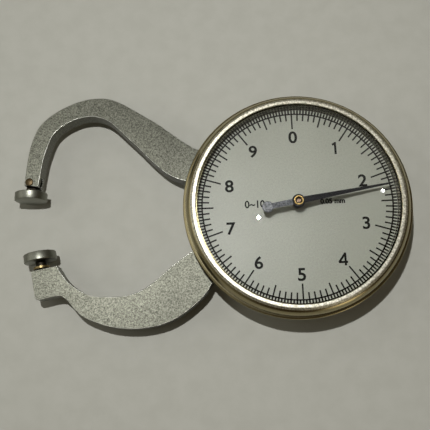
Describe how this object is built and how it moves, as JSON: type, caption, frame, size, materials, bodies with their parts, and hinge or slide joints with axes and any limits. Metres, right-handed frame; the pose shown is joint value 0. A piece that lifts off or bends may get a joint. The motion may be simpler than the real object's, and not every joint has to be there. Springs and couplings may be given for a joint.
{
  "type": "dial thickness gauge",
  "caption": "Dial thickness gauge: a round dial case with a fixed curved arm and a sprung pivoting arm, whose facing contact discs turn a geared pointer.",
  "frame": {"origin": "centre of the case back, on the dial axis", "axes": "+Z out of the dial towards the viewer, +X away from the arms, +Y towards the dial's zero"},
  "size_m": [0.0879, 0.053, 0.0154],
  "materials": {
    "satin": "satin silver",
    "cover": "brushed",
    "nickel": "satin champagne",
    "blasted": "bead blasted with bright edges",
    "steel": "polished",
    "brass": "turned",
    "screw": "turned, slotted",
    "dial": "matte light grey with black graduations",
    "glass": "clear, polished",
    "black": "satin black",
    "blued": "blued spring steel"
  },
  "bodies": {
    "case": {"case_body": "satin", "back_cover": "cover", "cover_screw_1": "screw", "cover_screw_2": "screw", "cover_screw_3": "screw", "fixed_arm": "blasted", "arm_screw_1": "screw", "arm_screw_2": "screw", "fixed_contact": "steel", "contact_collar": "brass", "pivot_post": "steel", "thrust_washer": "brass", "pivot_washer": "brass", "bridge_plate": "brass", "bridge_pillar_1": "brass", "bridge_screw_1": "screw", "bridge_pillar_2": "brass", "bridge_screw_2": "screw", "bridge_pillar_3": "brass", "bridge_screw_3": "screw", "bridge_pillar_4": "brass", "bridge_screw_4": "screw", "stop_pin": "steel", "spring_post": "steel", "return_spring": "blued", "hairspring_stud": "brass", "hairspring": "blued"},
    "arm": {"moving_arm": "blasted", "arm_bushing": "brass", "sector_gear": "brass", "sector_screw_1": "screw", "sector_screw_2": "screw", "tip_pin": "brass"},
    "contact": {"moving_contact": "steel"},
    "idler": {"idler_pinion": "steel", "idler_wheel": "brass"},
    "centre": {"centre_arbor": "steel", "pointer": "black", "pointer_bush": "brass"},
    "return_train": {"return_arbor": "steel", "return_wheel": "brass", "hairspring_collet": "brass"},
    "bezel_group": {"bezel": "nickel", "crystal": "glass", "reflector_ring": "nickel", "dial_plate": "dial", "dial_snap_ring": "steel", "bezel_snap_ring": "steel"}
  },
  "joints": [
    {"name": "arm_pivot", "type": "hinge", "parent": "case", "child": "arm", "pos_m": [0, 0.0094, 0.0045], "axis": [0, 0, 1], "range_deg": [0, 11.47], "stiffness_Nm_per_rad": 0.05, "springref_deg": -22.92, "deforming": ["return_spring"]},
    {"name": "contact_swivel", "type": "hinge", "parent": "arm", "child": "contact", "pos_m": [-0.05941, 0.00868, 0.0045], "axis": [0, 0, 1], "range_deg": [-3.5, 3.5]},
    {"name": "idler_spin", "type": "hinge", "parent": "case", "child": "idler", "pos_m": [0.01039, 0.00151, 0.0045], "axis": [0, 0, 1], "range_deg": [-72, 0]},
    {"name": "pointer_spin", "type": "hinge", "parent": "case", "child": "centre", "pos_m": [0, 0, 0.0045], "axis": [0, 0, 1], "range_deg": [0, 431]},
    {"name": "return_spin", "type": "hinge", "parent": "case", "child": "return_train", "pos_m": [-0.00482, -0.00575, 0.0045], "axis": [0, 0, 1], "range_deg": [-108, 0], "deforming": ["hairspring"]},
    {"name": "bezel_turn", "type": "hinge", "parent": "case", "child": "bezel_group", "pos_m": [0, 0, 0.01], "axis": [0, 0, 1], "continuous": true}
  ],
  "couplings": [
    {"joint": "idler_spin", "follows": "arm_pivot", "ratio": -6.25},
    {"joint": "pointer_spin", "follows": "arm_pivot", "ratio": 37.5},
    {"joint": "return_spin", "follows": "arm_pivot", "ratio": -9.375}
  ]
}
